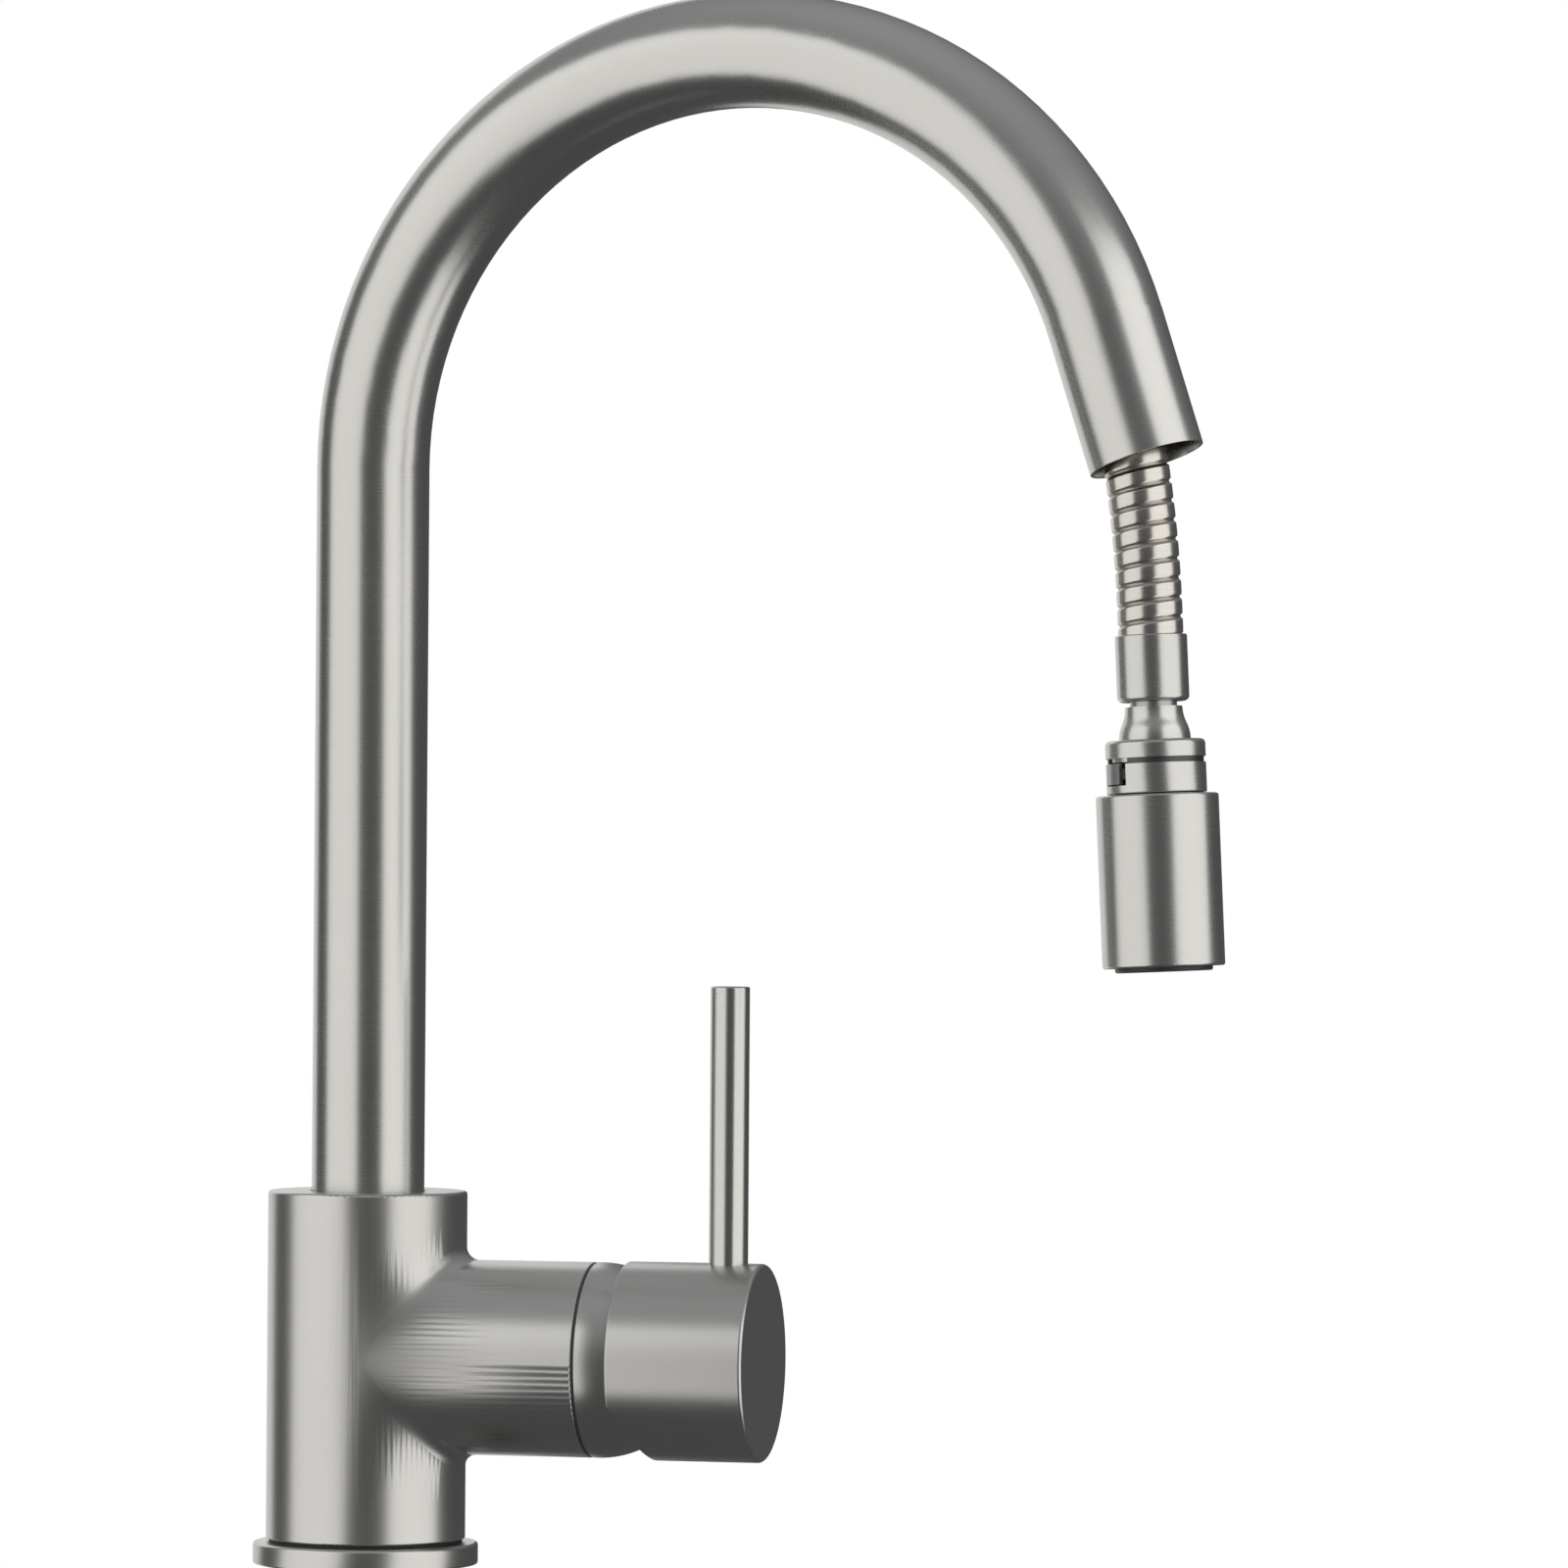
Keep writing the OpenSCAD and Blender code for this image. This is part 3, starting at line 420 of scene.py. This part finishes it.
def winding_tree(material):
    """A strip wound hose along a curve: a shallow helical groove runs between raised bands.

    The shares are of one turn: a groove's side takes ramp, and the band's crown stands at crown_at.
    """
    ramp, crown_at, crown_drop = 0.07, 0.39, 0.35
    b = Builder("strip_winding", {
        "Radius": HOSE_R * MM, "Pitch": 4.2 * MM, "Groove Depth": 0.5 * MM, "Band Share": 0.72,
        "Ring Step": 0.3 * MM, "Sides": 40, "Material": material,
    })
    rail = b.node("GeometryNodeResampleCurve", {"mode": "LENGTH"},
                  {"Curve": b.given["Geometry"], "Length": b.given["Ring Step"]})
    along = b.node("GeometryNodeSplineParameter", output="Length")
    rail = b.node("GeometryNodeStoreNamedAttribute", {"data_type": "FLOAT", "domain": "POINT"},
                  {"Geometry": rail, "Name": "along", "Value": along})
    profile = b.node("GeometryNodeCurvePrimitiveCircle", None,
                     {"Radius": b.given["Radius"], "Resolution": b.given["Sides"]})
    around = b.node("GeometryNodeSplineParameter", output="Factor")
    profile = b.node("GeometryNodeStoreNamedAttribute", {"data_type": "FLOAT", "domain": "POINT"},
                     {"Geometry": profile, "Name": "around", "Value": around})
    tube = b.node("GeometryNodeCurveToMesh", None,
                  {"Curve": rail, "Profile Curve": profile, "Fill Caps": True})
    along = b.node("GeometryNodeInputNamedAttribute", {"data_type": "FLOAT"}, {"Name": "along"})
    around = b.node("GeometryNodeInputNamedAttribute", {"data_type": "FLOAT"}, {"Name": "around"})
    turns = b.math("SUBTRACT", b.math("DIVIDE", along, b.given["Pitch"]), around)
    phase = b.node("ShaderNodeMath", {"operation": "FRACT"}, {0: turns})
    share = b.given["Band Share"]
    fall = b.node("ShaderNodeMapRange", {"interpolation_type": "SMOOTHSTEP"},
                  {"Value": phase, "From Min": share, "From Max": b.math("ADD", share, ramp)})
    rise = b.node("ShaderNodeMapRange", {"interpolation_type": "SMOOTHSTEP"},
                  {"Value": phase, "From Min": 1 - ramp, "From Max": 1.0, "To Min": 1.0, "To Max": 0.0})
    groove = b.math("MULTIPLY", fall, rise)
    off_crown = b.math("ABSOLUTE", b.math("SUBTRACT", phase, crown_at), 0.0)
    crown = b.math("MULTIPLY", b.math("POWER", off_crown, 2.0), crown_drop)
    sink = b.math("ADD", groove, b.math("MULTIPLY", crown, b.math("SUBTRACT", 1.0, groove)))
    deep = b.math("MULTIPLY", b.math("MULTIPLY", sink, -1.0), b.given["Groove Depth"])
    offset = b.node("ShaderNodeVectorMath", {"operation": "SCALE"},
                    {0: b.node("GeometryNodeInputNormal"), "Scale": deep})
    # the groove mask is also stored for the hose material, which uses it to paint shade into the grooves
    tube = b.node("GeometryNodeStoreNamedAttribute", {"data_type": "FLOAT", "domain": "POINT"},
                  {"Geometry": tube, "Name": "groove", "Value": groove})
    tube = b.node("GeometryNodeSetPosition", None, {"Geometry": tube, "Offset": offset})
    tube = b.node("GeometryNodeSetShadeSmooth", None, {"Geometry": tube})
    tube = b.node("GeometryNodeRealizeInstances", None, {"Geometry": tube})
    tube = b.node("GeometryNodeSetMaterial", None, {"Geometry": tube, "Material": b.given["Material"]})
    return b.finish(tube)


def shading_tree():
    """Joins a CAD node's loose triangles, with hard edges where faces meet at a wide angle."""
    b = Builder("edge_shading", {"Reach": 0.002 * MM, "Hard Angle": math.radians(32)})
    mesh = b.node("GeometryNodeMergeByDistance", None,
                  {"Geometry": b.given["Geometry"], "Distance": b.given["Reach"]})
    angle = b.node("GeometryNodeInputMeshEdgeAngle")
    soft = b.node("FunctionNodeCompare", {"data_type": "FLOAT", "operation": "LESS_THAN"},
                  {0: angle, 1: b.given["Hard Angle"]})
    mesh = b.node("GeometryNodeSetShadeSmooth", {"domain": "FACE"}, {"Geometry": mesh})
    mesh = b.node("GeometryNodeSetShadeSmooth", {"domain": "EDGE"},
                  {"Geometry": mesh, "Shade Smooth": soft})
    return b.finish(mesh)


def casting_tree():
    """Shades the body and its side arm as one casting.

    Near their join the two round walls' normals melt together. Every other face, such as the top, the bores
    and the rounded edges, keeps its own normal.
    """
    b = Builder("casting_shading", {
        "Body Radius": BODY_R * MM, "Arm Radius": ARM_R * MM,
        "Melt Above": 4 * MM, "Melt Beside": 9 * MM,
        "Wall Low": 6.15 * MM, "Wall High": 85.25 * MM, "Arm End": 54.35 * MM,
        "Same Face": math.cos(math.radians(40)), "Cuts": 1,
    })
    fine = b.node("GeometryNodeSubdivideMesh", None,
                  {"Mesh": b.given["Geometry"], "Level": b.given["Cuts"]})
    place = b.node("GeometryNodeInputPosition")
    flat = b.vector("MULTIPLY", place, (1, 1, 0))
    body_out = b.vector("NORMALIZE", flat, (0, 0, 0))
    body_gap = b.math("SUBTRACT", b.vector("LENGTH", flat, (0, 0, 0), 1), b.given["Body Radius"])
    centred = b.vector("SUBTRACT", place, (0, 0, ARM_Z * MM))
    along = b.vector("DOT_PRODUCT", centred, tuple(arm_dir), 1)
    axis_part = b.node("ShaderNodeVectorMath", {"operation": "SCALE"},
                       {0: tuple(arm_dir), "Scale": along})
    across = b.vector("SUBTRACT", centred, axis_part)
    arm_out = b.vector("NORMALIZE", across, (0, 0, 0))
    arm_gap = b.math("SUBTRACT", b.vector("LENGTH", across, (0, 0, 0), 1), b.given["Arm Radius"])
    arm_gap = b.math("MAXIMUM", arm_gap, b.math("MULTIPLY", along, -1.0))
    sideways = b.vector("DOT_PRODUCT", arm_out, tuple(arm_side), 1)
    beside = b.math("POWER", b.math("ABSOLUTE", sideways, 0.0), 2.0)
    melt = b.node("ShaderNodeMapRange", None,
                  {"Value": beside, "To Min": b.given["Melt Above"], "To Max": b.given["Melt Beside"]})
    lead = b.math("DIVIDE", b.math("SUBTRACT", body_gap, arm_gap), melt)
    share = b.node("ShaderNodeMapRange", None, {"Value": lead, "From Min": -1.0, "From Max": 1.0})
    melted = b.node("ShaderNodeMix", {"data_type": "VECTOR"}, {0: share, 4: body_out, 5: arm_out}, 1)
    melted = b.vector("NORMALIZE", melted, (0, 0, 0))
    own = b.node("GeometryNodeFieldOnDomain", {"data_type": "FLOAT_VECTOR", "domain": "FACE"},
                 {0: b.node("GeometryNodeInputNormal", output="True Normal")})
    height = b.node("ShaderNodeSeparateXYZ", None, {0: place}, "Z")
    wall = b.math("GREATER_THAN", b.vector("DOT_PRODUCT", own, melted, 1), b.given["Same Face"])
    for value, limit, test in ((height, "Wall Low", "GREATER_THAN"), (height, "Wall High", "LESS_THAN"),
                               (along, "Arm End", "LESS_THAN")):
        wall = b.math("MULTIPLY", wall, b.math(test, value, b.given[limit]))
    kept = b.node("GeometryNodeInputNormal")
    normal = b.node("ShaderNodeMix", {"data_type": "VECTOR"}, {0: wall, 4: kept, 5: melted}, 1)
    mesh = b.node("GeometryNodeSetMeshNormal", {"mode": "FREE", "domain": "CORNER"},
                  {"Mesh": fine, "Custom Normal": normal})
    return b.finish(mesh)


def run_tree(source, tree, name):
    """The evaluated result of a node tree on an object, as a plain mesh object of its own."""
    modifier = source.modifiers.new("make", "NODES")
    modifier.node_group = tree
    depsgraph = bpy.context.evaluated_depsgraph_get()
    mesh = bpy.data.meshes.new_from_object(source.evaluated_get(depsgraph), depsgraph=depsgraph)
    bpy.data.objects.remove(source)
    mesh.name = name
    made = bpy.data.objects.new(name, mesh)
    scene.collection.objects.link(made)
    return made


def path_curve(name, points):
    """An open poly curve through the points, which are in millimetres."""
    data = bpy.data.curves.new(name, "CURVE")
    data.dimensions = "3D"
    spline = data.splines.new("POLY")
    spline.points.add(len(points) - 1)
    for place, point in zip(spline.points, points):
        place.co = (*(Vector(point) * MM), 1)
    curve = bpy.data.objects.new(name, data)
    scene.collection.objects.link(curve)
    return curve


def mesh_object(name, bm, material, sharp=32):
    """A mesh object from a finished bmesh, smooth but for edges sharper than so many degrees."""
    bmesh.ops.recalc_face_normals(bm, faces=bm.faces)
    mesh = bpy.data.meshes.new(name)
    bm.to_mesh(mesh)
    bm.free()
    mesh.shade_smooth()
    mesh.set_sharp_from_angle(angle=math.radians(sharp))
    mesh.materials.append(material)
    made = bpy.data.objects.new(name, mesh)
    scene.collection.objects.link(made)
    return made


# ---------------------------------------------------------------- pieces


ARC_STEP = math.radians(1.5)


def arc_points(centre, radius, start, stop):
    """Points on an arc in the spout's plane; angles count from +X up."""
    count = max(2, math.ceil(abs(stop - start) / ARC_STEP))
    angles = [start + (stop - start) * i / count for i in range(count + 1)]
    return [Vector(centre) + radius * Vector((math.cos(a), 0, math.sin(a))) for a in angles]


def hose_route():
    """The hose's moving length, its still length, and the foot of its arc above the head.

    The moving one goes from the ferrule to the top of the bend, the still one on down to the swivel plane.
    """
    out_dir = Vector((math.sin(BEND_ANGLE), 0, math.cos(BEND_ANGLE)))
    out_side = Vector((-math.cos(BEND_ANGLE), 0, math.sin(BEND_ANGLE)))
    bend_centre = Vector((BEND_R, 0, BEND_Z))
    outlet = bend_centre + BEND_R * out_side + TAIL_L * out_dir
    dock = outlet + DOCK_GAP * (out_side + out_dir)
    far = dock - PULL_FOOT * out_dir - PULL_R * out_side
    tilt = math.pi - BEND_ANGLE - PULL_REST
    up = Vector((-math.sin(tilt), 0, math.cos(tilt)))
    foot = far + PULL_R * Vector((math.cos(tilt), 0, math.sin(tilt)))
    span = bend_centre - far
    meet = math.atan2(span.z, span.x)
    bend = PULL_R - span.length
    points = [foot - (PULL_FOOT - HOSE_IN) * up * (1 - i / 6) for i in range(6)]
    points += arc_points(far, PULL_R, tilt, meet)
    points += arc_points(bend_centre, bend, meet, math.pi / 2)[1:]
    still = arc_points(bend_centre, bend, math.pi / 2, math.pi)
    drop = BEND_Z - SWIVEL_Z - SWIVEL_GAP
    still += [Vector((BEND_R - bend, 0, BEND_Z - drop * i / 40)) for i in range(1, 41)]
    return points, still, foot


def lower_route():
    """Down from the swivel plane, a step aside past the inlets, and out of the shank."""
    points = []
    for i in range(25):
        share = i / 24
        ease = share * share * (3 - 2 * share)
        points.append(arm_dir * (-HOSE_SHIFT * ease) + Vector((0, 0, SWIVEL_Z - SIDE_STEP * share)))
    low = SWIVEL_Z - SIDE_STEP
    for i in range(1, 21):
        points.append(arm_dir * -HOSE_SHIFT + Vector((0, 0, low + (LOWER_END_Z - low) * i / 20)))
    return points


def arm_fillet(material):
    """The soft casting fillet where the side arm leaves the body.

    It has the shape that a ball leaves when it rolls between the two round walls. Its root is buried.
    """
    radius = 3.6
    root, root_reach = 1.2, 1.15
    around, across = 192, 9
    bm = bmesh.new()
    rows = []
    for k in range(around):
        t = 2 * math.pi * k / around
        y = (ARM_R + radius) * math.cos(t)
        z = (ARM_R + radius) * math.sin(t)
        x = math.sqrt((BODY_R + radius) ** 2 - y * y)
        centre = Vector((x, y, z))
        to_arm = Vector((0, -math.cos(t), -math.sin(t)))
        to_body = Vector((-x, -y, 0)).normalized()
        section = [centre + radius * to_arm.slerp(to_body, i / (across - 1)) for i in range(across)]
        inner = centre + (radius + root) * (to_arm + to_body).normalized() * root_reach
        section.append(inner)
        rows.append([bm.verts.new((arm_dir * p.x + arm_side * p.y + Vector((0, 0, ARM_Z + p.z))) * MM)
                     for p in section])
    count = across + 1
    for k in range(around):
        a, b = rows[k], rows[(k + 1) % around]
        for i in range(count):
            j = (i + 1) % count
            bm.faces.new((a[i], a[j], b[j], b[i]))
    return mesh_object("arm_fillet", bm, material, 40)


def add_floor():
    """A plain pale floor just under the part's lowest point."""
    bm = bmesh.new()
    bmesh.ops.create_circle(bm, cap_ends=True, segments=96, radius=720 * MM)
    bmesh.ops.translate(bm, vec=(50 * MM, 0, cad_box[0].z - 0.4 * MM), verts=bm.verts)
    floor = Finish("floor")
    speck = floor.noise(floor.coordinates((9, 9, 9)), 2.0)
    pale, paler = colour(0.74, 0.74, 0.74), colour(0.77, 0.77, 0.77)
    floor.set(Base_Color=floor.mix(speck, pale, paler), Roughness=0.9)
    made = mesh_object("floor", bm, materials["floor"])
    made.visible_glossy = False


# ---------------------------------------------------------------- putting it together

add_camera()
add_world()
add_softbox("left_softbox", azimuth=-62, distance=1.25, height=0.0, size=(1.75, 2.3), watts=12.6)
add_softbox("right_softbox", azimuth=57, distance=1.25, height=0.0, size=(1.65, 2.3), watts=13.4)
add_softbox("back_softbox", azimuth=-158, distance=1.6, height=0.1, size=(1.4, 2.3), watts=8)
overhead = add_softbox("floor_light", azimuth=0, distance=0.05, height=1.6, size=(1.6, 1.6), watts=42)
overhead.visible_glossy = False
add_floor()

make_materials()
# nodes whose brushing or tone differs from what their material slot would give
OWN_FINISH = {
    "spout_tube": "spout_steel",
    "cartridge_cover": "arm_steel",
    "lever_cap": "arm_steel",
    "spray_sleeve": "head_steel",
    "head_collar": "head_steel",
    "swivel_neck": "head_steel",
    "hose_ferrule": "head_steel",
    "collar_ring": "blackened_steel",
}
shading = shading_tree()
casting = casting_tree()
slots = {row["node"]: row["material_slot"] for row in frame["record"]["subparts"]}
for node, obj in frame["nodes"].items():
    material = materials[OWN_FINISH.get(node, slots[node])]
    if not obj.material_slots:
        obj.data.materials.append(material)
    for place in obj.material_slots:
        place.material = material
    obj.modifiers.new("edge_shading", "NODES").node_group = shading
    if node == "faucet_body":
        obj.modifiers.new("casting_shading", "NODES").node_group = casting
        continue
    weighted = obj.modifiers.new("face_weight", "WEIGHTED_NORMAL")
    weighted.keep_sharp = True
    weighted.weight = 80

winding = winding_tree(materials["hose_steel"])
moving_route, still_route, hose_foot = hose_route()
hose = run_tree(path_curve("hose_path", moving_route), winding, "wound_hose")
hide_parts("spray_hose")
tuple(hose_foot * MM)
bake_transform(hose)

still_hose = run_tree(path_curve("still_hose_path", still_route), winding, "wound_hose_in_column")
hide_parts("spray_hose")
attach(still_hose, "spout")

lower_hose = run_tree(path_curve("lower_path", lower_route()), winding, "wound_hose_lower")
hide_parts("hose_lower")
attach(lower_hose, "base")

fillet = run_tree(arm_fillet(materials["brushed_steel"]), casting, "arm_fillet")
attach(fillet, "base")

bpy.context.view_layer.update()
